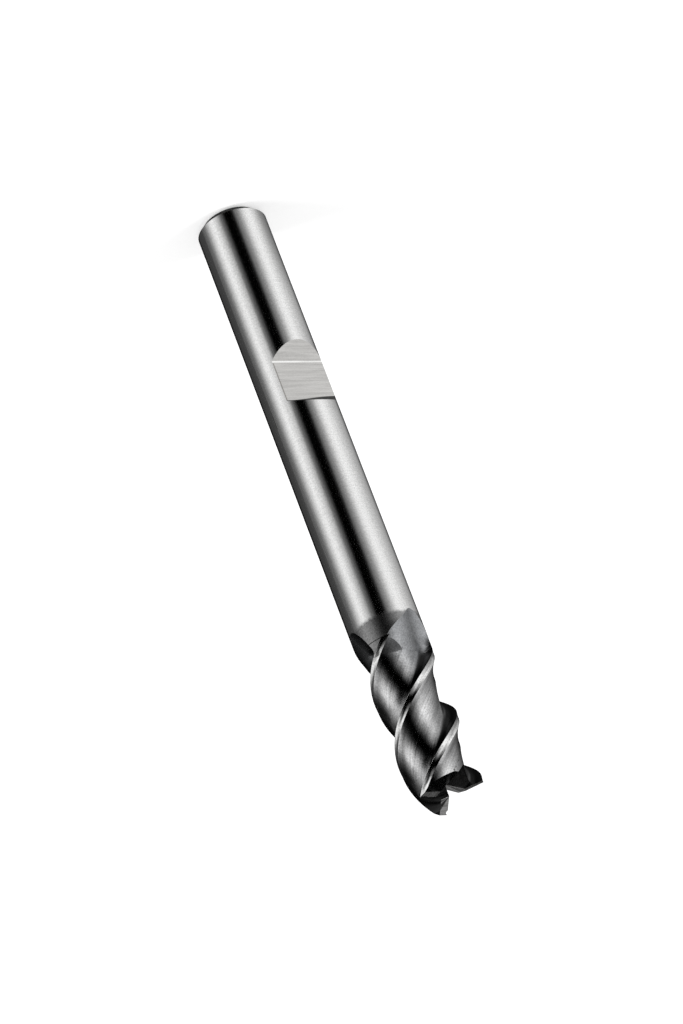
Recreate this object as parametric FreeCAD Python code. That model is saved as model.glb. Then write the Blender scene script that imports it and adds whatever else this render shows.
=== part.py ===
"""Three-flute end mill, 6 mm, with a straight shank that has a clamping flat.

One solid piece of high-speed steel. Millimetres. The tool stands on its shank end:
the origin is the middle of that end, +Z runs along the axis to the cutting end,
and the clamping flat faces -Y. The teeth cut as the tool turns towards +angle.
"""
import FreeCAD
import Part
import math
import os

Vector = FreeCAD.Vector
AXIS = Vector(0, 0, 1)
ORIGIN = Vector(0, 0, 0)

# Whole tool
overall_length = 57.0
shank_diameter = 6.0
cutter_diameter = 5.97
teeth = 3
helix_angle = 46.0
first_tooth_angle = 233.5

# Shank
end_chamfer = 0.6
end_chamfer_angle = 45.0

# Turned band between the shank and the lands
band_length = 1.9
band_end_diameter = 5.99
land_length = 13.95

# Clamping flat
flat_height = 4.8
flat_middle = 17.6
flat_length = 4.0
flat_ramp_angle_shank_side = 41.0
flat_ramp_angle_cutter_side = 58.0

# Flute, in the plane square to the axis
core_diameter = 3.94
radial_rake = 30.0
flute_back_meets_land = 14.0
full_depth_after_land_start = 1.3
runout_length = 4.4
runout_wheel_radius = 6.9
runout_direction = 107.0
runout_slope = 0.218
runout_rake = -19.0
turn_fade_length = 0.8
rake_fade_length = 1.3

# Clearances ground along each land
land_width = 0.73
land_clearance = 11.0
second_clearance = 53.0
second_clearance_at_start = 30.0
land_lead_in = 25.0

# Teeth on the end
dish_angle = 2.5
end_land_width = 0.62
end_clearance = 8.0
end_second_clearance = 29.0
gash_slope_angle = 22.0
gash_floor_angle = 36.5
gash_reach = 1.39
centre_web = 0.03
long_tooth = 2

# Sizes that follow
shank_radius = shank_diameter / 2
cutter_radius = cutter_diameter / 2
core_radius = core_diameter / 2
band_end_radius = band_end_diameter / 2
tooth_pitch = 360.0 / teeth
lead = math.pi * shank_diameter / math.tan(math.radians(helix_angle))
land_start = overall_length - land_length
shank_length = land_start - band_length
flute_depth_start = land_start + full_depth_after_land_start

# How far cutting solids reach past the metal
overrun = shank_radius * 0.2
reach_out = shank_radius
block_size = shank_diameter
section_turn = 12.0
runout_sections = 10


def sin(degrees):
    return math.sin(math.radians(degrees))


def cos(degrees):
    return math.cos(math.radians(degrees))


def tan(degrees):
    return math.tan(math.radians(degrees))


def polar(radius, degrees):
    return Vector(radius * cos(degrees), radius * sin(degrees), 0)


def angle_of(point):
    return math.degrees(math.atan2(point.y, point.x))


def corner():
    """Corner of a tooth at angle 0."""
    return Vector(cutter_radius, 0, 0)


def tooth_angle(index):
    """Angle of a tooth's corner at the cutting end."""
    return first_tooth_angle + index * tooth_pitch


def turned(shape, index):
    """The shape drawn for a tooth at angle 0, turned to where the tooth is."""
    return shape.rotated(ORIGIN, AXIS, tooth_angle(index))


def helix_turn(z):
    """Turn of the section at height z, against the section at the cutting end."""
    return 360.0 * (z - overall_length) / lead


def loft(wires):
    return Part.makeLoft(wires, True, False)


def blank():
    """Turned bar up to the lands: chamfered end, shank and slightly tapered band."""
    chamfer_rise = end_chamfer * tan(end_chamfer_angle)
    outline = [
        Vector(0, 0, 0),
        Vector(shank_radius - end_chamfer, 0, 0),
        Vector(shank_radius, 0, chamfer_rise),
        Vector(shank_radius, 0, shank_length),
        Vector(band_end_radius, 0, land_start),
        Vector(0, 0, land_start),
    ]
    face = Part.Face(Part.makePolygon(outline + outline[:1]))
    return face.revolve(ORIGIN, AXIS, 360)


def clamping_flat():
    """Metal ground away above the flat, with a ramp out at each end."""
    flat_y = shank_radius - flat_height
    outside_y = -(shank_radius + overrun)
    rise = flat_y - outside_y
    low = flat_middle - flat_length / 2
    high = flat_middle + flat_length / 2
    side = shank_radius + overrun
    outline = [
        Vector(-side, flat_y, low),
        Vector(-side, flat_y, high),
        Vector(-side, outside_y, high + rise / tan(flat_ramp_angle_cutter_side)),
        Vector(-side, outside_y, low - rise / tan(flat_ramp_angle_shank_side)),
    ]
    face = Part.Face(Part.makePolygon(outline + outline[:1]))
    return face.extrude(Vector(2 * side, 0, 0))


def arc_from(start, heading, end):
    """Arc that leaves start with the given heading, in degrees, and ends at end."""
    chord = end - start
    half_turn = (angle_of(chord) - heading + 180.0) % 360.0 - 180.0
    bulge = chord.Length / 2 * tan(half_turn / 2)
    across = Vector(chord.y, -chord.x, 0).normalize()
    return Part.Arc(start, start + chord * 0.5 + across * bulge, end).toShape()


def land_heel():
    """Back of the land that belongs to the next tooth."""
    next_corner = polar(cutter_radius, tooth_pitch)
    return next_corner + polar(land_width, tooth_pitch - 90 - land_clearance)


def back_circle():
    """Circle of the flute's bulging back, from the core to the land of the next tooth.

    It touches the core where the hook of the full rake touches it.
    """
    square = cutter_radius ** 2 - core_radius ** 2
    hook_radius = square / (2 * (core_radius + cutter_radius * sin(radial_rake)))
    bottom = polar(core_radius, angle_of(corner() + polar(hook_radius, 90 + radial_rake)))
    shoulder = polar(cutter_radius, tooth_pitch - flute_back_meets_land)
    return arc_from(bottom, angle_of(bottom) + 90, shoulder).Curve


def hook_end(rake):
    """Point where a hook with this rake runs smoothly into the back's circle."""
    circle = back_circle()
    across = corner() - circle.Center
    side = polar(1, 90 + rake)
    square = across.dot(across) - circle.Radius ** 2
    hook_radius = square / (2 * (circle.Radius - across.dot(side)))
    return circle.Center + (across + side * hook_radius).normalize() * circle.Radius


def hook(rake):
    """Face of a tooth whose corner is at angle 0, down to the flute's back."""
    return arc_from(corner(), 180 + rake, hook_end(rake))


def back(rake, end):
    """Bulging back of the flute, from the end of the hook to a point on its circle."""
    start = hook_end(rake)
    return arc_from(start, angle_of(start - back_circle().Center) + 90, end)


def second_heel(clearance, past_back=0):
    """Foot of the next tooth's second clearance, where its flat meets the flute's back."""
    circle = back_circle()
    step = polar(1, tooth_pitch - 90 - clearance)
    offset = land_heel() - circle.Center
    half = offset.dot(step)
    flat_width = math.sqrt(half ** 2 - offset.dot(offset) + circle.Radius ** 2) - half
    return land_heel() + step * (flat_width + past_back)


def flute_section(rake):
    """Closed outline of one flute in the plane square to the axis, closed in the air."""
    rake_end = corner() + polar(reach_out, rake)
    shoulder = polar(cutter_radius, tooth_pitch - flute_back_meets_land)
    heading = angle_of(shoulder - back_circle().Center) + 90
    back_end = shoulder + polar(reach_out, heading)
    apex = polar(shank_radius + reach_out, tooth_pitch / 2)
    return Part.Wire([
        Part.makeLine(rake_end, corner()),
        hook(rake),
        back(rake, shoulder),
        Part.makeLine(shoulder, back_end),
        Part.makeLine(back_end, apex),
        Part.makeLine(apex, rake_end),
    ])


def cutting_section():
    """Whole outline of the cutting length in the plane square to the axis.

    Each third holds a flute and the land behind it: hook, back, two clearances.
    """
    third = [
        hook(radial_rake),
        back(radial_rake, second_heel(second_clearance)),
        Part.makeLine(second_heel(second_clearance), land_heel()),
        Part.makeLine(land_heel(), polar(cutter_radius, tooth_pitch)),
    ]
    return Part.Wire([turned(edge, index) for index in range(teeth) for edge in third])


def relieved_section(clearance):
    """Outline of the bar where the lands start, before the flutes are cut.

    Each land is ground to its two clearances and has a round lead-in ahead of its
    corner; the flutes remove the straight lines that join one land to the next.
    """
    tail = second_heel(clearance, past_back=overrun)
    lead_in = polar(cutter_radius, land_lead_in)
    third = [
        Part.Arc(corner(), polar(cutter_radius, land_lead_in / 2), lead_in).toShape(),
        Part.makeLine(lead_in, tail),
        Part.makeLine(tail, land_heel()),
        Part.makeLine(land_heel(), polar(cutter_radius, tooth_pitch)),
    ]
    return Part.Wire([turned(edge, index) for index in range(teeth) for edge in third])


def placed(section, z, turn, shift=Vector(0, 0, 0)):
    wire = section.copy()
    wire.translate(shift)
    wire.rotate(ORIGIN, AXIS, turn)
    wire.translate(Vector(0, 0, z))
    return wire


def heights(low, high):
    """Heights of the sections between two levels, at most section_turn apart."""
    steps = math.ceil((helix_turn(high) - helix_turn(low)) / section_turn)
    return [low + (high - low) * i / steps for i in range(steps + 1)]


def helical_sections(section, low, high):
    return [placed(section, z, helix_turn(z)) for z in heights(low, high)]


def land_sections():
    """Sections of the bar where the lands start; the second clearance grows in there."""
    sections = []
    for z in heights(land_start, flute_depth_start):
        share = (z - land_start) / (flute_depth_start - land_start)
        growth = (second_clearance - second_clearance_at_start) * share
        section = relieved_section(second_clearance_at_start + growth)
        sections.append(placed(section, z, helix_turn(z)))
    return sections


def runout_shift(drop):
    """Where the grinding wheel has moved to once it is drop below full depth.

    It goes straight on along the flute, so it leaves the round bar, and its own
    round rim lifts it out.
    """
    along = polar(drop * runout_slope, runout_direction - 90)
    travel = drop * math.hypot(1, runout_slope)
    lift = polar(travel ** 2 / (2 * runout_wheel_radius), runout_direction)
    return along + lift


def runout_turn(drop):
    """Turn of the flute in the run-out, where the tool stops turning little by little."""
    fading = min(drop, turn_fade_length)
    return helix_turn(flute_depth_start - fading + fading ** 2 / (2 * turn_fade_length))


def runout_rake_at(drop):
    """Rake of the section in the run-out: the hook opens out, as the wheel's side is flat."""
    share = min(drop / rake_fade_length, 1.0)
    return radial_rake + (runout_rake - radial_rake) * share


def flute():
    """Solid that cuts the end of one flute into the bar, up to its full depth."""
    runout = []
    for i in range(runout_sections, 0, -1):
        drop = runout_length * i / runout_sections
        section = flute_section(runout_rake_at(drop))
        z = flute_depth_start - drop
        runout.append(placed(section, z, runout_turn(drop), runout_shift(drop)))
    full = flute_section(radial_rake)
    return loft(runout + helical_sections(full, flute_depth_start, flute_depth_start + overrun))


def shank():
    """Bar with its clamping flat, the start of the lands and the ends of the flutes."""
    bar = blank().cut(clamping_flat())
    bar = bar.fuse(loft(land_sections()))
    for index in range(teeth):
        bar = bar.cut(turned(flute(), index))
    return bar


def cutting_length():
    """Length with full-depth flutes: its section carried up the helix to the end."""
    return loft(helical_sections(cutting_section(), flute_depth_start, overall_length))


def sector():
    """Column over the third of the end that lies behind a tooth's edge."""
    corners = [
        Vector(0, 0, 0),
        polar(block_size, 0),
        polar(block_size, -tooth_pitch / 2),
        polar(block_size, -tooth_pitch),
    ]
    face = Part.Face(Part.makePolygon(corners + corners[:1]))
    column = face.extrude(AXIS * (2 * block_size))
    return column.translated(AXIS * (overall_length - block_size))


def edge_height(radius):
    """Height of the end cutting edges at a radius, with their dish."""
    return overall_length - (cutter_radius - radius) * tan(dish_angle)


def end_clearances():
    """Metal ground away behind the end cutting edge that lies along +X."""
    size = block_size
    heel_drop = end_land_width * tan(end_clearance)
    tail_drop = heel_drop + (size - end_land_width) * tan(end_second_clearance)
    outline = [
        Vector(0, size, size * tan(end_clearance)),
        Vector(0, -end_land_width, -heel_drop),
        Vector(0, -size, -tail_drop),
        Vector(0, -size, size),
        Vector(0, size, size),
    ]
    face = Part.Face(Part.makePolygon(outline + outline[:1]))
    start = Vector(-size, 0, edge_height(-size))
    run = Vector(2 * size, 0, edge_height(size) - edge_height(-size))
    return face.translated(start).extrude(run).common(sector())


def gash(depth_at_centre):
    """Notch ground in front of the edge along +X: an upright face and a sloping floor."""
    size = block_size
    floor = overall_length - depth_at_centre
    outline = [
        Vector(0, 0, floor),
        Vector(0, size, floor + size * tan(gash_floor_angle)),
        Vector(0, size, floor + 2 * size),
        Vector(0, 0, floor + 2 * size),
    ]
    face = Part.Face(Part.makePolygon(outline + outline[:1]))
    start = Vector(-size, 0, size * tan(gash_slope_angle))
    run = Vector(2 * size, 0, -2 * size * tan(gash_slope_angle))
    return face.translated(start).extrude(run)


def gash_depth(index):
    """Depth of a tooth's gash at the middle of the end.

    A full gash crosses the middle and cuts the next tooth's edge at gash_reach. The
    long tooth has to reach the middle, so the gash before it stays above its land.
    """
    if (index + 1) % teeth == long_tooth:
        return overall_length - edge_height(0) + centre_web
    across = gash_reach * sin(tooth_pitch) * tan(gash_floor_angle)
    along = -gash_reach * cos(tooth_pitch) * tan(gash_slope_angle)
    return overall_length - edge_height(gash_reach) + across + along


def build():
    tool = shank().fuse(cutting_length())
    for index in range(teeth):
        tool = tool.cut(turned(end_clearances(), index))
    for index in range(teeth):
        tool = tool.cut(turned(gash(gash_depth(index)), index))
    return tool.removeSplitter()


def main():
    os.makedirs("parts", exist_ok=True)
    tool = build()
    print("solids", len(tool.Solids), "valid", tool.isValid(), "volume", round(tool.Volume, 2))
    tool.Solids[0].exportStep("parts/endmill.step")


if __name__ == "__main__":
    main()
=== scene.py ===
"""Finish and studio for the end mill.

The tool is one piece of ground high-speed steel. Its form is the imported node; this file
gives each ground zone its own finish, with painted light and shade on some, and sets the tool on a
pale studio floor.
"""
import math
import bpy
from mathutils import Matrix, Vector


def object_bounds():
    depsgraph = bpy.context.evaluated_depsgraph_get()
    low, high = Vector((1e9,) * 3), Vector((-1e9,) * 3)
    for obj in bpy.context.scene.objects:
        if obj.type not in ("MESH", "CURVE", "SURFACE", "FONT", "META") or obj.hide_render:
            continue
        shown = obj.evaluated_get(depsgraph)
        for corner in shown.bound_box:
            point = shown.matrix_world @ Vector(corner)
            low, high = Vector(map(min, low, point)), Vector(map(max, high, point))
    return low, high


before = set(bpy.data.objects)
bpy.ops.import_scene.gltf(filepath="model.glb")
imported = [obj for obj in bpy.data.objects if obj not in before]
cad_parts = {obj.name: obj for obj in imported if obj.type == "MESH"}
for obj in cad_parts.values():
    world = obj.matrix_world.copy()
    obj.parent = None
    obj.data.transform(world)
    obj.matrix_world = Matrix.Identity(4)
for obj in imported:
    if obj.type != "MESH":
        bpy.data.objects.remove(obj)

from types import SimpleNamespace

import bpy
from bpy.props import FloatProperty, FloatVectorProperty, PointerProperty
from mathutils import Matrix, Vector

bl_info = {
    "name": "End mill finish",
    "version": (1, 0, 0),
    "blender": (4, 5, 0),
    "location": "3D View > Sidebar > End mill",
    "description": "Ground steel finish and studio for a three-flute end mill",
    "category": "Material",
}

CAD_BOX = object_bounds()
NODE = "endmill"
MILLIMETRE = 0.001
FULL_TURN = 360.0
TEETH = 3
NOISE_MIDDLE = 0.5
WHITE = 1.0

# How far, in mm, the borders of the zones lie from the heights and radii in the sizes.
CUT_DEPTH = 0.026
BAND_BELOW_SHANK_TOP = 0.03
DARKER_SIDE_ABOVE_FOOT = 0.2
FLUTES_BELOW_SHANK_TOP = 2.5
RUNOUT_BELOW_FULL_DEPTH = 0.7
RAKE_BELOW_FULL_DEPTH = 0.25
SHADING_ABOVE_FULL_DEPTH = 0.4
CROWN_ABOVE_LAND_START = 2.5
TEETH_BELOW_TIP = 3.1
# The painted shade line round the step where the lands begin: from and to in mm about that height.
STEP_LINE = (-0.05, 0.02)

# The painted shade of the rake face begins about this many degrees before the next tooth's face.
RAKE_BEFORE_HOOK = 3.0

# Shares of the shank's radius: lands and the step lie outside theirs, gashes inside.
LAND_SHARE = 0.93
STEP_SHARE = 0.975
GASH_SHARE = 0.83

# Painted shade on one side of the shank near its lower end: its height, and where it lies along the
# tool's x and y axes, all in mm.
SHANK_SHADE_HEIGHT = 6.0
SHANK_SHADE_X = (-2.2, -0.9)
SHANK_SHADE_Y = -0.75

# A face counts as cut when 1 less the cosine of its tilt from straight outward is over this.
CUT_TILT = 0.0015

# Height of a face's normal, 1 being straight up, on the end's faces, on the level and the
# slanting end lands, on upright gash walls and on the rake faces, which look down.
END_FACES = 0.6
LEVEL_LANDS = 0.96
SLANTING_LANDS = (0.745, 0.785)
GASH_WALLS = (-0.02, 0.02)
RAKE_FACES = -0.2

# The run-out's border falls by this many mm for each degree behind the corner.
RUNOUT_SLANT = 0.022

# The border of the satin band wanders: marks per mm, and mm between its extremes.
BAND_WANDER_SCALE = 2.5
BAND_WANDER = 0.5

# Lines on the flat: from and to in mm above the ramp's foot for the painted highlight line, the
# least and the greatest thickness of the painted shade crescent in mm, and where the darker side
# starts in mm from the axis.
FOOT_LINE = (-0.02, 0.13)
CRESCENT = (0.05, 0.42)
DARKER_SIDE = 2.29

# Marks that follow a flute: how far the noise moves on per mm of height and per degree round.
FLUTE_MARKS_HEIGHT = 0.25
WHEEL_MARKS_HEIGHT = 0.12
MARKS_ROUND = 0.05

# Size in mm of the fine and the coarse grain.
FINE_GRAIN = 0.13
COARSE_GRAIN = 0.32

# How strongly marks and grain show in the colour, in the relief and in the roughness, how
# much quieter they are in the run-out, and how far the relief reaches in mm.
MARKS_IN_COLOUR = {"shank": 0.22, "flute": 1.1, "flat": 0.75, "end land": 2.4, "wheel": 0.7}
GRAIN_IN_COLOUR = {"shank": 0.8, "satin": 1.5, "flat": 0.3}
MARKS_IN_RELIEF = {"shank": 0.45, "flute": 1.5, "land": 0.7}
GRAIN_IN_RELIEF = {"shank": 0.5, "band": 1.2, "flute": 1.5}
GRAIN_IN_ROUGHNESS = 0.08
RUNOUT_QUIET = 0.75
# How much of the colour is left under the painted shade near the shank's lower end.
SHANK_SHADE_FACTOR = 0.45
RELIEF_STRENGTH = 0.35
RELIEF_DEPTH = 0.01

# Each zone with the property that holds its colour or roughness, in the order in which
# they are laid over the plain shank.
ZONE_COLOURS = (
    ("band", "band_steel"), ("flute", "satin"), ("run-out", "runout_steel"),
    ("flat", "flat_steel"), ("land", "steel"), ("rake face", "rake_shade"),
    ("gash wall", "gash_wall_shade"), ("flat side", "edge_line"), ("step", "shade_line"),
    ("flat end", "shade_line"), ("ramp foot", "highlight_line"), ("end", "end_shade"),
    ("end land", "end_land_steel"))
ZONE_ROUGHNESS = (
    ("band", "band_roughness"), ("flute", "flute_roughness"), ("run-out", "runout_roughness"),
    ("clearance", "flute_roughness"), ("chamfer", "end_roughness"),
    ("flat", "end_roughness"), ("land", "land_roughness"), ("end", "end_roughness"))

# Painted light and shade on the flutes, from one corner back to the next face: angle behind
# the corner in degrees, and a factor on the colour. The stops were set from measured
# ratios of the photo to test renders. The factor is halved to fit a colour ramp.
FLUTE_SHADING = (
    (0, 1.1), (14, 1.1), (18, 0.74), (22, 0.64), (26, 0.9), (31, 1.1), (37, 1.25), (48, 1.3),
    (58, 1.22), (66, 1.04), (75, 0.93), (87, 0.88), (94, 0.78), (100, 0.66), (107, 0.8))
RAMP_ROOM = 2.0

# What stands round the tool, as polished steel mirrors it: compass angle in degrees and
# brightness, 1 being white. The rings go from straight below, past level, to high up. The
# stops were set from measurements of what the steel mirrors in the photo and from
# test renders.
BELOW = (
    (0, 0.35), (30, 0.15), (60, 0.06), (84, 0.03), (150, 0.03), (186, 0.15), (214, 0.42),
    (240, 0.46), (260, 0.25), (285, 0.05), (330, 0.02), (348, 0.2))
LOW = (
    (0, 1.0), (8, 0.95), (16, 0.74), (24, 0.50), (32, 0.28), (42, 0.125), (52, 0.08), (62, 0.06),
    (72, 0.05), (88, 0.05), (98, 0.02), (104, 0.004), (136, 0.004), (147, 0.08), (158, 0.22),
    (170, 0.40), (188, 0.52), (206, 0.70), (222, 0.87), (234, 1.0), (243, 0.96), (252, 0.80),
    (260, 0.54), (268, 0.31), (280, 0.14), (286, 0.02), (290, 0.0), (315, 0.0), (322, 0.07),
    (331, 0.19), (341, 0.56))
SLANTING = (
    (0, 0.45), (10, 0.9), (24, 0.85), (36, 0.6), (48, 0.28), (60, 0.1), (84, 0.01), (108, 0.0),
    (140, 0.02), (156, 0.08), (180, 0.22), (204, 0.38), (228, 0.6), (242, 0.95), (252, 1.0),
    (266, 0.85), (276, 0.55), (287, 0.15), (296, 0.0), (342, 0.0), (352, 0.12))
LEVEL = (
    (0, 0.9), (12, 0.95), (24, 0.45), (36, 0.18), (48, 0.05), (60, 0.01), (94, 0.0), (101, 0.2),
    (114, 0.2), (122, 0.01), (140, 0.04), (156, 0.14), (180, 0.28), (204, 0.46), (228, 0.80),
    (242, 1.0), (252, 0.95), (264, 0.5), (276, 0.20), (288, 0.03), (296, 0.0), (318, 0.0),
    (326, 0.03), (337, 0.25), (349, 0.72))
ABOVE = (
    (0, 0.18), (20, 0.12), (40, 0.05), (60, 0.02), (84, 0.01), (112, 0.12), (130, 0.1), (160, 0.2),
    (180, 0.34), (200, 0.62), (216, 0.58), (240, 0.6), (256, 0.38), (268, 0.20), (280, 0.06),
    (296, 0.0), (308, 0.005), (318, 0.04), (332, 0.12), (345, 0.17))
HIGH = (
    (0, 0.17), (60, 0.05), (84, 0.0), (98, 0.01), (110, 0.30), (120, 0.26), (132, 0.08), (150, 0.0),
    (192, 0.0), (206, 0.2), (216, 1.0), (236, 1.0), (248, 0.36), (262, 0.18), (276, 0.08),
    (292, 0.02), (306, 0.04), (320, 0.18), (340, 0.2))

# From which elevation to which, in degrees, each ring takes over from the one under it.
RINGS = ((-52, -38, LOW), (-24.5, -20.5, SLANTING), (-15, -8, LEVEL), (4, 18, ABOVE),
         (18, 32, HIGH))

# Studio, in metres: half the floor's side, and the lamps, their width and where they aim.
FLOOR_HALF = 1.5
LAMPS = {"lamp_over_left": (-0.35, -0.35, 0.5), "lamp_over_right": (0.45, 0.1, 0.4)}
LAMP_WIDTH = 0.3
LAMP_AIM = (0, 0, 0.03)
NEAREST_SEEN = 0.01
FARTHEST_SEEN = 10


class EndMillSizes(bpy.types.PropertyGroup):
    """Places on the tool where one ground zone meets the next."""

    chamfer_top: FloatProperty(
        name="Chamfer top", description="Height of the end chamfer", default=0.0006,
        unit="LENGTH", subtype="DISTANCE")
    flat_low: FloatProperty(
        name="Flat from", description="Lowest height the clamping flat reaches",
        default=0.0135, unit="LENGTH", subtype="DISTANCE")
    flat_high: FloatProperty(
        name="Flat to", description="Highest height the clamping flat reaches",
        default=0.0212, unit="LENGTH", subtype="DISTANCE")
    ramp_foot: FloatProperty(
        name="Ramp foot", description="Height where the flat's lower ramp meets it",
        default=0.0156, unit="LENGTH", subtype="DISTANCE")
    flat_end: FloatProperty(
        name="Flat end", description="Height where the flat's upper ramp begins",
        default=0.0196, unit="LENGTH", subtype="DISTANCE")
    shank_top: FloatProperty(
        name="Shank top", description="Height where the polished shank ends",
        default=0.04115, unit="LENGTH", subtype="DISTANCE")
    land_start: FloatProperty(
        name="Land start", description="Height where the lands begin",
        default=0.04305, unit="LENGTH", subtype="DISTANCE")
    full_depth: FloatProperty(
        name="Full depth", description="Height where the flutes reach their full depth",
        default=0.04435, unit="LENGTH", subtype="DISTANCE")
    tip: FloatProperty(
        name="Tip", description="Height of the cutting end", default=0.057,
        unit="LENGTH", subtype="DISTANCE")
    shank_radius: FloatProperty(
        name="Shank radius", description="Radius of the ground shank", default=0.003,
        unit="LENGTH", subtype="DISTANCE")
    lead: FloatProperty(
        name="Lead", description="Rise of the flutes in one full turn",
        default=0.0182025, unit="LENGTH", subtype="DISTANCE")
    first_tooth: FloatProperty(
        name="First tooth", description="Angle of the first tooth's corner at the tip",
        default=math.radians(233.5), unit="ROTATION", subtype="ANGLE")
    land_angle: FloatProperty(
        name="Land angle", description="Angle that a land covers behind its corner",
        default=math.radians(14.1), unit="ROTATION", subtype="ANGLE")
    relief_angle: FloatProperty(
        name="Relief angle", description="Angle from a corner to the end of its clearances",
        default=math.radians(52.0), unit="ROTATION", subtype="ANGLE")
    hook_angle: FloatProperty(
        name="Hook angle", description="Angle from a corner to the face of the next tooth behind",
        default=math.radians(106.5), unit="ROTATION", subtype="ANGLE")


class EndMillFinish(bpy.types.PropertyGroup):
    """Colours and roughness of the ground steel, with the colours of its painted light and shade."""

    steel: FloatVectorProperty(
        name="Polished steel", description="Colour of the ground shank and lands",
        default=(0.83, 0.83, 0.825), subtype="COLOR", size=3)
    band_steel: FloatVectorProperty(
        name="Turned band", description="Colour of the satin band above the shank",
        default=(0.3, 0.3, 0.3), subtype="COLOR", size=3)
    satin: FloatVectorProperty(
        name="Satin steel", description="Colour of the flutes",
        default=(0.55, 0.55, 0.552), subtype="COLOR", size=3)
    runout_steel: FloatVectorProperty(
        name="Run-out", description="Colour where the flutes run out into the shank",
        default=(0.38, 0.388, 0.4), subtype="COLOR", size=3)
    # Painted shade: near black on the rake faces, where they look down and just before the next
    # tooth, standing in for their dark reflections.
    rake_shade: FloatVectorProperty(
        name="Rake faces", description="Colour of the hollow faces in front of the edges",
        default=(0.025, 0.025, 0.025), subtype="COLOR", size=3)
    flat_steel: FloatVectorProperty(
        name="Clamping flat", description="Colour of the ground clamping flat",
        default=(0.56, 0.553, 0.54), subtype="COLOR", size=3)
    # Painted shade: near black on the upright walls of the end gashes, where shade falls.
    gash_wall_shade: FloatVectorProperty(
        name="Gash walls", description="Colour of the upright walls of the end gashes",
        default=(0.03, 0.03, 0.03), subtype="COLOR", size=3)
    # Painted shade: very dark on the gashes and the second end clearances.
    end_shade: FloatVectorProperty(
        name="End teeth", description="Colour of the gashes and the second end clearances",
        default=(0.13, 0.13, 0.13), subtype="COLOR", size=3)
    end_land_steel: FloatVectorProperty(
        name="End lands", description="Colour of the lands along the end cutting edges",
        default=(0.86, 0.85, 0.84), subtype="COLOR", size=3)
    edge_line: FloatVectorProperty(
        name="Edge line", description="Colour of the darker line along one side of the flat",
        default=(0.3, 0.29, 0.275), subtype="COLOR", size=3)
    # Painted highlight: a bright line where the rounded foot of the flat's lower ramp meets the
    # flat.
    highlight_line: FloatVectorProperty(
        name="Bright line", description="Colour of the painted highlight at the foot of the flat's ramp",
        default=(0.97, 0.965, 0.95), subtype="COLOR", size=3)
    # Painted shade: a dark line round the step where the lands begin, and a dark crescent where the
    # flat's upper ramp begins.
    shade_line: FloatVectorProperty(
        name="Dark line", description="Colour where the lands begin and where the flat ends",
        default=(0.06, 0.06, 0.06), subtype="COLOR", size=3)
    shank_roughness: FloatProperty(
        name="Shank roughness", description="Roughness of the ground shank",
        default=0.13, min=0.0, max=1.0, subtype="FACTOR")
    band_roughness: FloatProperty(
        name="Band roughness", description="Roughness of the satin band",
        default=0.28, min=0.0, max=1.0, subtype="FACTOR")
    runout_roughness: FloatProperty(
        name="Run-out roughness", description="Roughness where the flutes run out",
        default=0.2, min=0.0, max=1.0, subtype="FACTOR")
    flute_roughness: FloatProperty(
        name="Flute roughness", description="Roughness in the flutes",
        default=0.12, min=0.0, max=1.0, subtype="FACTOR")
    land_roughness: FloatProperty(
        name="Land roughness", description="Roughness of the lands",
        default=0.12, min=0.0, max=1.0, subtype="FACTOR")
    end_roughness: FloatProperty(
        name="End roughness",
        description="Roughness of the cutting end, the clamping flat and the shank's chamfered end",
        default=0.22, min=0.0, max=1.0, subtype="FACTOR")


class StudioSettings(bpy.types.PropertyGroup):
    """Camera, floor and light."""

    floor: FloatVectorProperty(
        name="Floor", description="Colour of the studio floor",
        default=(0.86, 0.86, 0.86), subtype="COLOR", size=3)
    azimuth: FloatProperty(
        name="Azimuth", description="Side that the camera stands on",
        default=math.radians(36.625), unit="ROTATION", subtype="ANGLE")
    elevation: FloatProperty(
        name="Elevation", description="Height of the camera above the horizon",
        default=math.radians(28.39), unit="ROTATION", subtype="ANGLE")
    roll: FloatProperty(
        name="Roll", description="Turn of the picture about the line of sight",
        default=math.radians(20.953), unit="ROTATION", subtype="ANGLE")
    distance: FloatProperty(
        name="Distance", description="Distance from the camera to the tool's middle",
        default=0.437456, unit="LENGTH", subtype="DISTANCE")
    slide_right: FloatProperty(
        name="Slide right", description="How far the tool sits right of the picture's middle",
        default=-0.0004, unit="LENGTH", subtype="DISTANCE")
    slide_down: FloatProperty(
        name="Slide down", description="How far the tool sits below the picture's middle",
        default=-0.000825, unit="LENGTH", subtype="DISTANCE")
    lens: FloatProperty(
        name="Lens", description="Focal length", default=188.458,
        unit="CAMERA", subtype="NONE")
    lamp_power: FloatProperty(
        name="Lamp power", description="Power of each soft lamp, in watts",
        default=1.6, min=0.0, unit="POWER")
    soft_light: FloatProperty(
        name="Soft light", description="Level of the plain light from all sides",
        default=0.55, min=0.0, max=1.0, subtype="FACTOR")
    floor_glow: FloatProperty(
        name="Floor glow", description="Lift that makes the floor white to the camera",
        default=0.35, min=0.0, max=1.0, subtype="FACTOR")


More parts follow.
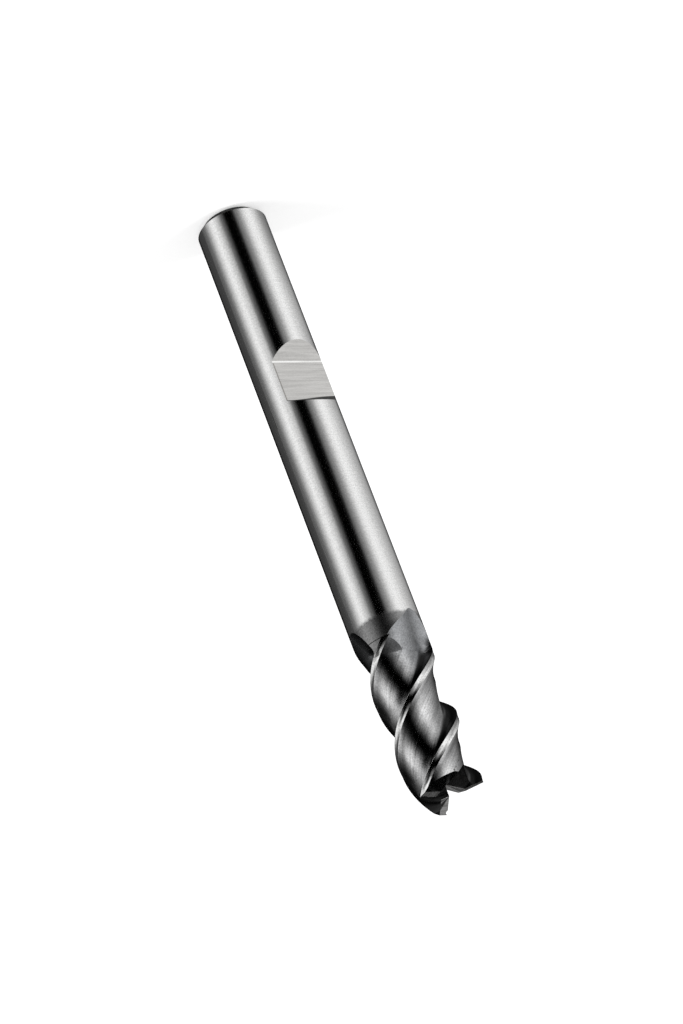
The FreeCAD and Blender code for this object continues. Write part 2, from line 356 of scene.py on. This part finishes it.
class Wiring:
    """Adds nodes to one tree and joins them; numbers go straight into the sockets."""

    def __init__(self, tree):
        self.tree = tree

    def feed(self, socket, value):
        """Link a socket to another one, or set it to a number or a colour."""
        if isinstance(value, bpy.types.NodeSocket):
            self.tree.links.new(value, socket)
        elif isinstance(value, (int, float)):
            socket.default_value = value
        else:
            value = tuple(value)
            size = len(socket.default_value)
            socket.default_value = (value + (1.0,))[:size] if size > len(value) else value

    def node(self, kind, inputs=(), **settings):
        """A new node with its settings and its inputs fed."""
        made = self.tree.nodes.new(kind)
        for key, value in settings.items():
            setattr(made, key, value)
        for key, value in dict(inputs).items():
            self.feed(made.inputs[key], value)
        return made

    def math(self, operation, *values, clamp=False):
        """A math node on numbers."""
        made = self.node("ShaderNodeMath", operation=operation, use_clamp=clamp)
        for socket, value in zip(made.inputs, values):
            self.feed(socket, value)
        return made.outputs[0]

    def times(self, first, *others):
        """All the values multiplied together."""
        for other in others:
            first = self.math("MULTIPLY", first, other)
        return first

    def plus(self, first, second):
        """The sum of two values."""
        return self.math("ADD", first, second)

    def minus(self, first, second):
        """The first value less the second."""
        return self.math("SUBTRACT", first, second)

    def larger(self, first, second):
        """The larger of two values; of two masks, what either covers."""
        return self.math("MAXIMUM", first, second)

    def over(self, value, limit):
        """1 where the value is over the limit."""
        return self.math("GREATER_THAN", value, limit)

    def under(self, value, limit):
        """1 where the value is under the limit."""
        return self.math("LESS_THAN", value, limit)

    def vector(self, operation, *values, output="Vector"):
        """A math node on vectors."""
        made = self.node("ShaderNodeVectorMath", operation=operation)
        for socket, value in zip(made.inputs, values):
            self.feed(socket, value)
        return made.outputs[output]

    def ramp(self, value, start, end):
        """0 at start, 1 at end, smooth between."""
        made = self.node("ShaderNodeMapRange", interpolation_type="SMOOTHSTEP")
        for socket, number in zip(made.inputs, (value, start, end, 0.0, 1.0)):
            self.feed(socket, number)
        return made.outputs[0]

    def rising(self, value, border, soft):
        """0 under the border and 1 over it, blended for the distance soft on both sides."""
        return self.ramp(value, border - soft, border + soft)

    def falling(self, value, border, soft):
        """1 under the border and 0 over it, blended for the distance soft on both sides."""
        return self.ramp(value, border + soft, border - soft)

    def between(self, value, borders, soft):
        """1 where the value lies between two borders, blended at both."""
        low, high = borders
        return self.times(self.rising(value, low, soft), self.falling(value, high, soft))

    def mix(self, factor, first, second):
        """Numbers mixed by a factor: 0 gives the first and 1 the second."""
        made = self.node("ShaderNodeMix", data_type="FLOAT")
        # The mix node has its numbers in inputs 2 and 3, and its colours in 6 and 7.
        self.feed(made.inputs[0], factor)
        self.feed(made.inputs[2], first)
        self.feed(made.inputs[3], second)
        return made.outputs[0]

    def mix_colour(self, factor, first, second, blend="MIX"):
        """Colours mixed by a factor: 0 gives the first and 1 the second."""
        made = self.node("ShaderNodeMix", data_type="RGBA", blend_type=blend)
        self.feed(made.inputs[0], factor)
        self.feed(made.inputs[6], first)
        self.feed(made.inputs[7], second)
        return made.outputs[2]

    def combine(self, x, y, z):
        """A vector from three numbers."""
        return self.node("ShaderNodeCombineXYZ", {"X": x, "Y": y, "Z": z}).outputs[0]

    def separate(self, vector):
        """The three numbers of a vector, by the names X, Y and Z."""
        return self.node("ShaderNodeSeparateXYZ", {"Vector": vector}).outputs

    def noise(self, vector, scale, detail=2.0, roughness=0.5):
        """Noise as a value round zero."""
        made = self.node("ShaderNodeTexNoise", {
            "Vector": vector, "Scale": scale, "Detail": detail, "Roughness": roughness})
        return self.minus(made.outputs["Fac"], NOISE_MIDDLE)

    def normal(self):
        """The way a face points, in the tool's own axes."""
        return self.node("ShaderNodeTexCoord").outputs["Normal"]

    def ring(self, turn, stops):
        """Grey value round a full turn, from a list of angles and values."""
        made = self.node("ShaderNodeValToRGB", {"Fac": turn})
        stops = [(angle / FULL_TURN, value) for angle, value in stops] + [(1.0, stops[0][1])]
        elements = made.color_ramp.elements
        elements[0].position, elements[1].position = stops[0][0], stops[-1][0]
        elements[0].color = elements[1].color = (stops[0][1],) * 3 + (1.0,)
        for place, value in stops[1:-1]:
            elements.new(place).color = (value,) * 3 + (1.0,)
        return made.outputs["Color"]

    def group(self, tree, **inputs):
        """The outputs of a node group; an underscore in an input's name stands for a space."""
        made = self.node("ShaderNodeGroup", node_tree=tree)
        for key, value in inputs.items():
            self.feed(made.inputs[key.replace("_", " ")], value)
        return made.outputs


def new_group(name, inputs, outputs):
    """An empty shader node group with its sockets, and a Wiring for it."""
    group = bpy.data.node_groups.new(name, "ShaderNodeTree")
    for label, kind, default in inputs:
        socket = group.interface.new_socket(name=label, in_out="INPUT", socket_type=kind)
        socket.default_value = default
    for label, kind in outputs:
        group.interface.new_socket(name=label, in_out="OUTPUT", socket_type=kind)
    wiring = Wiring(group)
    return wiring, wiring.node("NodeGroupInput").outputs, wiring.node("NodeGroupOutput").inputs


def tool_coordinates():
    """Group: place, radius and height in mm, degrees behind a tooth's corner, and out of round."""
    wiring, given, result = new_group(
        "Tool coordinates",
        [("Lead", "NodeSocketFloat", 18.2), ("Tip", "NodeSocketFloat", 57.0),
         ("First tooth", "NodeSocketFloat", 233.5)],
        [("Radius", "NodeSocketFloat"), ("Height", "NodeSocketFloat"),
         ("Behind corner", "NodeSocketFloat"), ("Place", "NodeSocketVector"),
         ("Out of round", "NodeSocketFloat")])
    tooth_step = FULL_TURN / TEETH
    place = wiring.vector("SCALE", wiring.node("ShaderNodeTexCoord").outputs["Object"])
    place.node.inputs["Scale"].default_value = 1.0 / MILLIMETRE
    parts = wiring.separate(place)
    across = wiring.combine(parts["X"], parts["Y"], 0.0)
    angle = wiring.math("DEGREES", wiring.math("ARCTAN2", parts["Y"], parts["X"]))
    drop = wiring.minus(given["Tip"], parts["Z"])
    turn = wiring.math("DIVIDE", wiring.times(drop, FULL_TURN), given["Lead"])
    unturned = wiring.plus(wiring.minus(angle, given["First tooth"]), turn)
    ahead = wiring.math("FLOORED_MODULO", unturned, tooth_step)
    outward = wiring.vector("NORMALIZE", across)
    straight = wiring.vector("DOT_PRODUCT", outward, wiring.normal(), output="Value")
    wiring.feed(result["Radius"], wiring.vector("LENGTH", across, output="Value"))
    wiring.feed(result["Height"], parts["Z"])
    wiring.feed(result["Behind corner"], wiring.minus(tooth_step, ahead))
    wiring.feed(result["Place"], place)
    wiring.feed(result["Out of round"], wiring.minus(1.0, straight))
    return wiring.tree


def grinding_marks():
    """Group: fine parallel scratches, long along two axes of the given place and close along Z."""
    wiring, given, result = new_group(
        "Grinding marks",
        [("Place", "NodeSocketVector", (0.0, 0.0, 0.0)), ("Along", "NodeSocketFloat", 0.5),
         ("Across", "NodeSocketFloat", 12.0)],
        [("Marks", "NodeSocketFloat")])
    parts = wiring.separate(given["Place"])
    stretched = wiring.combine(
        wiring.times(parts["X"], given["Along"]), wiring.times(parts["Y"], given["Along"]),
        wiring.times(parts["Z"], given["Across"]))
    wiring.feed(result["Marks"], wiring.noise(stretched, 1.0, detail=3.0, roughness=0.6))
    return wiring.tree


def steel_speckle():
    """Group: the fine grain that a grinding wheel leaves, as a value round zero."""
    wiring, given, result = new_group(
        "Steel speckle",
        [("Place", "NodeSocketVector", (0.0, 0.0, 0.0)), ("Grain", "NodeSocketFloat", 0.12)],
        [("Speckle", "NodeSocketFloat")])
    scale = wiring.math("DIVIDE", 1.0, given["Grain"])
    fine = wiring.noise(given["Place"], scale, detail=4.0, roughness=0.65)
    wiring.feed(result["Speckle"], fine)
    return wiring.tree


def clearance_crown():
    """Group: height in mm of the slight crown that the wide clearance behind a land has."""
    wiring, given, result = new_group(
        "Clearance crown",
        [("Behind corner", "NodeSocketFloat", 0.0), ("Foot angle", "NodeSocketFloat", 54.3),
         ("Foot radius", "NodeSocketFloat", 2.285), ("Width", "NodeSocketFloat", 1.93),
         ("Slope at land", "NodeSocketFloat", 0.34), ("Slope at foot", "NodeSocketFloat", -0.33)],
        [("Crown", "NodeSocketFloat")])
    half = 0.5
    to_foot = wiring.math("RADIANS", wiring.minus(given["Foot angle"], given["Behind corner"]))
    left = wiring.times(given["Foot radius"], wiring.math("TANGENT", to_foot))
    across = wiring.larger(wiring.minus(given["Width"], left), 0.0)
    across = wiring.math("MINIMUM", across, given["Width"])
    change = wiring.minus(given["Slope at foot"], given["Slope at land"])
    bend = wiring.math("DIVIDE", change, given["Width"])
    slope = wiring.plus(given["Slope at land"], wiring.times(bend, across, half))
    wiring.feed(result["Crown"], wiring.times(slope, across))
    return wiring.tree


def flute_shading():
    """Group: painted light and shade on a flute, as a factor on its colour by the angle behind the
    corner.
    """
    wiring, given, result = new_group(
        "Flute shading", [("Behind corner", "NodeSocketFloat", 0.0)],
        [("Shading", "NodeSocketFloat")])
    stops = [(angle, value / RAMP_ROOM) for angle, value in FLUTE_SHADING]
    grey = wiring.ring(wiring.math("DIVIDE", given["Behind corner"], FULL_TURN), stops)
    value = wiring.node("ShaderNodeSeparateColor", {"Color": grey}).outputs[0]
    wiring.feed(result["Shading"], wiring.times(value, RAMP_ROOM))
    return wiring.tree


def plain_sizes(sizes):
    """The sizes as plain numbers: lengths in mm and angles in degrees."""
    plain = SimpleNamespace()
    for name, kept in sizes.bl_rna.properties.items():
        unit = getattr(kept, "unit", "NONE")
        if unit == "LENGTH":
            setattr(plain, name, getattr(sizes, name) / MILLIMETRE)
        elif unit == "ROTATION":
            setattr(plain, name, math.degrees(getattr(sizes, name)))
    return plain


def shank_zones(wiring, tool, size):
    """Masks of the chamfer, the satin band and the painted shade on one side near the shank's end.
    """
    height, side = tool["Height"], wiring.separate(tool["Place"])
    wander = wiring.times(wiring.noise(tool["Place"], BAND_WANDER_SCALE), BAND_WANDER)
    band_edge = size.shank_top - BAND_BELOW_SHANK_TOP
    return {
        "band": wiring.rising(wiring.plus(height, wander), band_edge, soft=0.19),
        "chamfer": wiring.falling(height, size.chamfer_top, soft=0.02),
        # Painted shade on one side, darker towards the shank's lower end.
        "shank shade": wiring.times(
            wiring.falling(height, SHANK_SHADE_HEIGHT, soft=6.0),
            wiring.between(side["X"], SHANK_SHADE_X, soft=0.8),
            wiring.falling(side["Y"], SHANK_SHADE_Y, soft=0.75)),
    }


def flat_zones(wiring, tool, size, cut):
    """Masks of the clamping flat, a darker strip along one side, a painted highlight line at the
    lower ramp's foot and a painted shade crescent where the upper ramp begins.
    """
    height, side = tool["Height"], wiring.separate(tool["Place"])["X"]
    flat = wiring.times(cut, wiring.between(height, (size.flat_low, size.flat_high), soft=0.01))
    foot_line = [size.ramp_foot + border for border in FOOT_LINE]
    # The painted shade crescent where the flat's upper ramp begins is thicker on one side.
    thickness = wiring.mix(wiring.falling(side, 0.0, soft=2.3), *CRESCENT)
    past_end = wiring.minus(wiring.minus(size.flat_end, height), thickness)
    return {
        "flat": flat,
        "flat side": wiring.times(
            flat, wiring.rising(side, DARKER_SIDE, soft=0.04),
            wiring.over(height, size.ramp_foot + DARKER_SIDE_ABOVE_FOOT)),
        # Painted shade crescent where the flat's upper ramp begins.
        "flat end": wiring.times(flat, wiring.falling(past_end, 0.01, soft=0.04)),
        # Painted highlight line at the foot of the lower ramp.
        "ramp foot": wiring.times(flat, wiring.between(height, foot_line, soft=0.02)),
    }


def flute_zones(wiring, tool, size, cut, facing_up):
    """Masks of the flutes, their run-outs, lands, clearances and rake faces."""
    height, radius, behind = tool["Height"], tool["Radius"], tool["Behind corner"]
    flute = wiring.times(cut, wiring.over(height, size.shank_top - FLUTES_BELOW_SHANK_TOP))
    with_lands = wiring.rising(height, size.land_start, soft=0.01)
    outside = wiring.over(radius, size.shank_radius * LAND_SHARE)
    slanted = wiring.minus(height, wiring.times(RUNOUT_SLANT, behind))
    # Painted shade on the rake faces: where a face looks down, and just before the next tooth's
    # face.
    hollow = wiring.larger(
        wiring.falling(facing_up, RAKE_FACES, soft=0.08),
        wiring.rising(behind, size.hook_angle - RAKE_BEFORE_HOOK, soft=6.0))
    runout_edge = size.full_depth - RUNOUT_BELOW_FULL_DEPTH
    rake_edge = size.full_depth - RAKE_BELOW_FULL_DEPTH
    shading_edge = size.full_depth + SHADING_ABOVE_FULL_DEPTH
    step_line = [size.land_start + border for border in STEP_LINE]
    return {
        "flute": flute,
        # Where the flutes get their painted light and shade.
        "full flute": wiring.times(
            flute, wiring.rising(height, shading_edge, soft=0.8),
            wiring.rising(behind, size.land_angle, soft=0.4)),
        "run-out": wiring.times(flute, wiring.falling(slanted, runout_edge, soft=1.2)),
        "land": wiring.times(
            with_lands, outside, wiring.falling(behind, size.land_angle, soft=0.4)),
        "clearance": wiring.times(
            with_lands, wiring.falling(behind, size.relief_angle, soft=1.0)),
        "rake face": wiring.times(wiring.rising(height, rake_edge, soft=0.65), hollow),
        # Painted shade line round the step where the lands begin.
        "step": wiring.times(
            wiring.over(radius, size.shank_radius * STEP_SHARE),
            wiring.between(height, step_line, soft=0.02)),
    }


def end_zones(wiring, tool, size, facing_up):
    """Masks of the cutting end, the lands along its edges and the walls of its gashes."""
    near_tip = wiring.rising(tool["Height"], size.tip - TEETH_BELOW_TIP, soft=0.1)
    inside = wiring.under(tool["Radius"], size.shank_radius * GASH_SHARE)
    lands = wiring.larger(
        wiring.rising(facing_up, LEVEL_LANDS, soft=0.005),
        wiring.between(facing_up, SLANTING_LANDS, soft=0.005))
    return {
        # The end's faces get painted shade, and the lands along its edges lie over it in steel
        # colour.
        "end": wiring.times(near_tip, wiring.rising(facing_up, END_FACES, soft=0.05)),
        "end land": wiring.times(near_tip, lands),
        # Painted shade on the gash walls.
        "gash wall": wiring.times(
            near_tip, inside, wiring.between(facing_up, GASH_WALLS, soft=0.01)),
    }


def steel_zones(wiring, tool, size):
    """Masks of the ground zones, by place on the tool and by the way a face points."""
    facing_up = wiring.separate(wiring.normal())["Z"]
    cut = wiring.larger(
        wiring.under(tool["Radius"], size.shank_radius - CUT_DEPTH),
        wiring.over(tool["Out of round"], CUT_TILT))
    return {
        **shank_zones(wiring, tool, size),
        **flat_zones(wiring, tool, size, cut),
        **flute_zones(wiring, tool, size, cut, facing_up),
        **end_zones(wiring, tool, size, facing_up),
    }


def steel_marks(wiring, tool, zone):
    """Grinding marks and grain for each kind of face, as values round zero."""
    marks, speckle = grinding_marks(), steel_speckle()
    place, height = tool["Place"], tool["Height"]
    behind, radius = tool["Behind corner"], tool["Radius"]

    def scratches(where, along, across):
        return wiring.group(marks, Place=where, Along=along, Across=across)["Marks"]

    def grain(size):
        return wiring.group(speckle, Place=place, Grain=size)["Speckle"]

    wound = wiring.times(behind, MARKS_ROUND)
    flute_place = wiring.combine(wiring.times(height, FLUTE_MARKS_HEIGHT), 0.0, wound)
    wheel_place = wiring.combine(wiring.times(height, WHEEL_MARKS_HEIGHT), 0.0, wound)
    quieter = wiring.minus(1.0, wiring.times(zone["run-out"], RUNOUT_QUIET))
    return {
        "shank": scratches(place, along=0.5, across=14.0),
        "band": scratches(place, along=0.6, across=7.0),
        "flat": scratches(place, along=0.3, across=7.0),
        "end land": scratches(wiring.combine(behind, 0.0, radius), along=0.02, across=5.0),
        "flute": wiring.times(scratches(flute_place, along=1.0, across=4.0), quieter),
        "wheel": scratches(wheel_place, along=1.0, across=1.6),
        "grain": grain(FINE_GRAIN),
        "coarse grain": grain(COARSE_GRAIN),
    }


def laid_over(mix, zone, first, order, finish):
    """The first value with those of the zones mixed over it, in the given order."""
    for name, kept in order:
        first = mix(zone[name], first, getattr(finish, kept))
    return first


def steel_colour(wiring, tool, zone, marks, finish):
    """Colour of each zone, with its marks, its grain, painted light and shade across the flutes and
    painted shade near the shank's lower end.
    """
    colour = laid_over(wiring.mix_colour, zone, finish.steel, ZONE_COLOURS, finish)
    lines = {name: wiring.times(marks[name], strength)
             for name, strength in MARKS_IN_COLOUR.items()}
    streaks = lines["shank"]
    for name in ("flute", "flat", "end land"):
        streaks = wiring.mix(zone[name], streaks, lines[name])
    satin = wiring.larger(zone["flute"], zone["band"])
    strength = wiring.mix(satin, GRAIN_IN_COLOUR["shank"], GRAIN_IN_COLOUR["satin"])
    strength = wiring.mix(zone["flat"], strength, GRAIN_IN_COLOUR["flat"])
    grain = wiring.times(marks["grain"], strength)
    shade = wiring.plus(wiring.plus(1.0, streaks), grain)
    # Painted shade on one side of the shank near its lower end.
    shade = wiring.times(shade, wiring.mix(zone["shank shade"], 1.0, SHANK_SHADE_FACTOR))
    # Painted light and shade across each flute, by the angle behind the corner, with the wheel's
    # marks on it.
    stripes = wiring.group(flute_shading(), Behind_corner=tool["Behind corner"])["Shading"]
    stripes = wiring.plus(stripes, lines["wheel"])
    shade = wiring.times(shade, wiring.mix(zone["full flute"], 1.0, stripes))
    return wiring.mix_colour(1.0, colour, wiring.combine(shade, shade, shade), blend="MULTIPLY")


def steel_roughness(wiring, zone, marks, finish):
    """Roughness of each zone, a little uneven."""
    roughness = laid_over(wiring.mix, zone, finish.shank_roughness, ZONE_ROUGHNESS, finish)
    uneven = wiring.times(marks["coarse grain"], GRAIN_IN_ROUGHNESS)
    return wiring.math("ADD", roughness, uneven, clamp=True)


def steel_relief(wiring, zone, marks):
    """Height of the marks and the grain, for the bump."""
    grain = {name: wiring.times(marks["grain"], strength)
             for name, strength in GRAIN_IN_RELIEF.items()}
    land_marks = wiring.times(marks["flute"], MARKS_IN_RELIEF["land"])
    flute_marks = wiring.times(marks["flute"], MARKS_IN_RELIEF["flute"])
    shank_marks = wiring.times(marks["shank"], MARKS_IN_RELIEF["shank"])
    relief = wiring.plus(shank_marks, grain["shank"])
    for name, height in (
            ("band", wiring.plus(marks["band"], grain["band"])),
            ("flute", wiring.plus(grain["flute"], flute_marks)),
            ("flat", marks["flat"]), ("land", land_marks), ("end", marks["grain"])):
        relief = wiring.mix(zone[name], relief, height)
    return relief


def steel_normal(wiring, tool, size, relief):
    """Normal of the steel: the crown of the wide clearances, and the relief on top of it."""
    crown = wiring.group(clearance_crown(), Behind_corner=tool["Behind corner"])["Crown"]
    begun = wiring.ramp(
        tool["Height"], size.land_start, size.land_start + CROWN_ABOVE_LAND_START)
    formed = wiring.node("ShaderNodeBump", {
        "Strength": 1.0, "Distance": 1.0, "Height": wiring.times(crown, begun, MILLIMETRE)})
    bump = wiring.node("ShaderNodeBump", {
        "Strength": RELIEF_STRENGTH, "Distance": RELIEF_DEPTH * MILLIMETRE, "Height": relief,
        "Normal": formed.outputs[0]})
    return bump.outputs[0]


def ground_steel(sizes, finish):
    """Material of the whole tool: each ground zone has its colour, roughness and marks, and several
    have painted light and shade.
    """
    material = bpy.data.materials.new("ground_high_speed_steel")
    material.use_nodes = True
    material.node_tree.nodes.clear()
    wiring = Wiring(material.node_tree)
    size = plain_sizes(sizes)
    tool = wiring.group(
        tool_coordinates(), Lead=size.lead, Tip=size.tip, First_tooth=size.first_tooth)
    zone = steel_zones(wiring, tool, size)
    marks = steel_marks(wiring, tool, zone)
    relief = steel_relief(wiring, zone, marks)
    shader = wiring.node("ShaderNodeBsdfPrincipled", {
        "Base Color": steel_colour(wiring, tool, zone, marks, finish),
        "Roughness": steel_roughness(wiring, zone, marks, finish),
        "Metallic": 1.0,
        "Normal": steel_normal(wiring, tool, size, relief)})
    output = wiring.node("ShaderNodeOutputMaterial")
    wiring.feed(output.inputs["Surface"], shader.outputs[0])
    return material


class ENDMILL_OT_finish_tool(bpy.types.Operator):
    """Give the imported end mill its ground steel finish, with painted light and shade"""

    bl_idname = "endmill.finish_tool"
    bl_label = "Finish the tool"

    def execute(self, context):
        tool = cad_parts[NODE]
        material = ground_steel(context.scene.endmill_sizes, context.scene.endmill_finish)
        if not tool.material_slots:
            tool.data.materials.append(material)
        for slot in tool.material_slots:
            slot.material = material
        return {"FINISHED"}


def seen_directly(wiring):
    """1 for what the camera sees, and for what glass or a mirror shows of it."""
    path = wiring.node("ShaderNodeLightPath").outputs
    mirrored = wiring.larger(path["Is Glossy Ray"], path["Is Transmission Ray"])
    return wiring.larger(path["Is Camera Ray"], mirrored)


def floor_material(settings):
    """Pale floor: white to the camera, and it keeps the tool's shadow."""
    material = bpy.data.materials.new("studio_floor")
    material.use_nodes = True
    material.cycles.emission_sampling = "NONE"
    material.node_tree.nodes.clear()
    wiring = Wiring(material.node_tree)
    diffuse = wiring.node("ShaderNodeBsdfDiffuse", {"Color": settings.floor})
    glow = wiring.node("ShaderNodeEmission", {
        "Color": (WHITE, WHITE, WHITE),
        "Strength": wiring.times(seen_directly(wiring), settings.floor_glow)})
    both = wiring.node("ShaderNodeAddShader")
    wiring.feed(both.inputs[0], diffuse.outputs[0])
    wiring.feed(both.inputs[1], glow.outputs[0])
    output = wiring.node("ShaderNodeOutputMaterial")
    wiring.feed(output.inputs["Surface"], both.outputs[0])
    return material


def studio_surround(wiring):
    """Soft white panels and dark gaps round the tool, by direction, as the steel mirrors them."""
    direction = wiring.node("ShaderNodeTexCoord").outputs["Generated"]
    parts = wiring.separate(direction)
    angle = wiring.math("ARCTAN2", parts["Y"], parts["X"])
    turn = wiring.math("FRACT", wiring.math("DIVIDE", angle, math.tau))
    height = wiring.math("DEGREES", wiring.math("ARCSINE", parts["Z"]))
    light = wiring.ring(turn, BELOW)
    for low, high, stops in RINGS:
        light = wiring.mix_colour(wiring.ramp(height, low, high), light, wiring.ring(turn, stops))
    return light


def studio_world(settings):
    """White behind the tool, plain soft light on it, and the panels where steel mirrors them."""
    world = bpy.data.worlds.new("studio_world")
    world.use_nodes = True
    world.cycles.sampling_method = "NONE"
    world.node_tree.nodes.clear()
    wiring = Wiring(world.node_tree)
    path = wiring.node("ShaderNodeLightPath").outputs
    plain = settings.soft_light
    behind = wiring.larger(path["Is Camera Ray"], path["Is Transmission Ray"])
    colour = wiring.mix_colour(behind, (plain, plain, plain), (WHITE, WHITE, WHITE))
    colour = wiring.mix_colour(path["Is Glossy Ray"], colour, studio_surround(wiring))
    background = wiring.node("ShaderNodeBackground", {"Color": colour, "Strength": 1.0})
    output = wiring.node("ShaderNodeOutputWorld")
    wiring.feed(output.inputs["Surface"], background.outputs[0])
    return world


def add_floor(settings):
    """Plain square floor at the height the tool stands on."""
    half = FLOOR_HALF
    mesh = bpy.data.meshes.new("studio_floor")
    corners = [(-half, -half, 0), (half, -half, 0), (half, half, 0), (-half, half, 0)]
    mesh.from_pydata(corners, [], [(0, 1, 2, 3)])
    floor = bpy.data.objects.new("studio_floor", mesh)
    bpy.context.scene.collection.objects.link(floor)
    mesh.materials.append(floor_material(settings))
    floor.visible_glossy = False


def add_lamp(name, place, power):
    """Soft round lamp that aims at the tool and isn't mirrored in it."""
    lamp = bpy.data.lights.new(name, "AREA")
    lamp.shape = "DISK"
    lamp.size = LAMP_WIDTH
    lamp.energy = power
    thing = bpy.data.objects.new(name, lamp)
    thing.location = place
    aim = Vector(LAMP_AIM) - Vector(place)
    thing.rotation_euler = aim.to_track_quat("-Z", "Y").to_euler()
    thing.visible_glossy = False
    bpy.context.scene.collection.objects.link(thing)


def camera_axes(settings):
    """Right, down and forward of the camera; the tool's tip points down in the picture."""
    azimuth, elevation, roll = settings.azimuth, settings.elevation, settings.roll
    back = Vector((math.sin(azimuth) * math.cos(elevation),
                   -math.cos(azimuth) * math.cos(elevation), math.sin(elevation)))
    down = Vector((0, 0, 1)) - back * back.z
    down.normalize()
    right = down.cross(-back)
    turned_right = right * math.cos(roll) + down * math.sin(roll)
    turned_down = down * math.cos(roll) - right * math.sin(roll)
    return turned_right, turned_down, -back


def add_camera(settings):
    """Camera at the photo's angle, slid so that the tool lies where it does in the photo."""
    right, down, forward = camera_axes(settings)
    middle = Vector((0, 0, (CAD_BOX[0].z + CAD_BOX[1].z) / 2))
    place = (middle - forward * settings.distance - right * settings.slide_right
             - down * settings.slide_down)
    camera = bpy.data.cameras.new("studio_camera")
    camera.lens = settings.lens
    camera.clip_start = NEAREST_SEEN
    camera.clip_end = FARTHEST_SEEN
    thing = bpy.data.objects.new("studio_camera", camera)
    turn = Matrix((right, -down, -forward)).transposed()
    thing.matrix_world = Matrix.Translation(place) @ turn.to_4x4()
    bpy.context.scene.collection.objects.link(thing)
    bpy.context.scene.camera = thing


class ENDMILL_OT_build_studio(bpy.types.Operator):
    """Set the floor, the soft lamps, the world and the camera"""

    bl_idname = "endmill.build_studio"
    bl_label = "Build the studio"

    def execute(self, context):
        settings = context.scene.endmill_studio
        add_floor(settings)
        for name, place in LAMPS.items():
            add_lamp(name, place, settings.lamp_power)
        context.scene.world = studio_world(settings)
        add_camera(settings)
        context.scene.view_settings.view_transform = "Standard"
        return {"FINISHED"}


class ENDMILL_PT_sidebar(bpy.types.Panel):
    """Steps and settings of the end mill"""

    bl_idname = "ENDMILL_PT_sidebar"
    bl_label = "End mill"
    bl_space_type = "VIEW_3D"
    bl_region_type = "UI"
    bl_category = "End mill"

    def draw(self, context):
        layout = self.layout
        for step in STEPS:
            layout.operator(step.bl_idname)
        for group in (context.scene.endmill_sizes, context.scene.endmill_finish,
                      context.scene.endmill_studio):
            box = layout.box()
            for name in group.bl_rna.properties.keys():
                if name not in ("rna_type", "name"):
                    box.prop(group, name)


STEPS = (ENDMILL_OT_finish_tool, ENDMILL_OT_build_studio)
GROUPS = {
    "endmill_sizes": EndMillSizes,
    "endmill_finish": EndMillFinish,
    "endmill_studio": StudioSettings,
}


def register():
    """Make the settings, the steps and the sidebar known to Blender."""
    for name, group in GROUPS.items():
        bpy.utils.register_class(group)
        setattr(bpy.types.Scene, name, PointerProperty(type=group))
    for step in STEPS:
        bpy.utils.register_class(step)
    bpy.utils.register_class(ENDMILL_PT_sidebar)


def unregister():
    """Take them away again."""
    bpy.utils.unregister_class(ENDMILL_PT_sidebar)
    for step in reversed(STEPS):
        bpy.utils.unregister_class(step)
    for name, group in GROUPS.items():
        delattr(bpy.types.Scene, name)
        bpy.utils.unregister_class(group)


def main():
    """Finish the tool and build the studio."""
    register()
    bpy.ops.endmill.finish_tool()
    bpy.ops.endmill.build_studio()


if __name__ == "__main__":
    main()
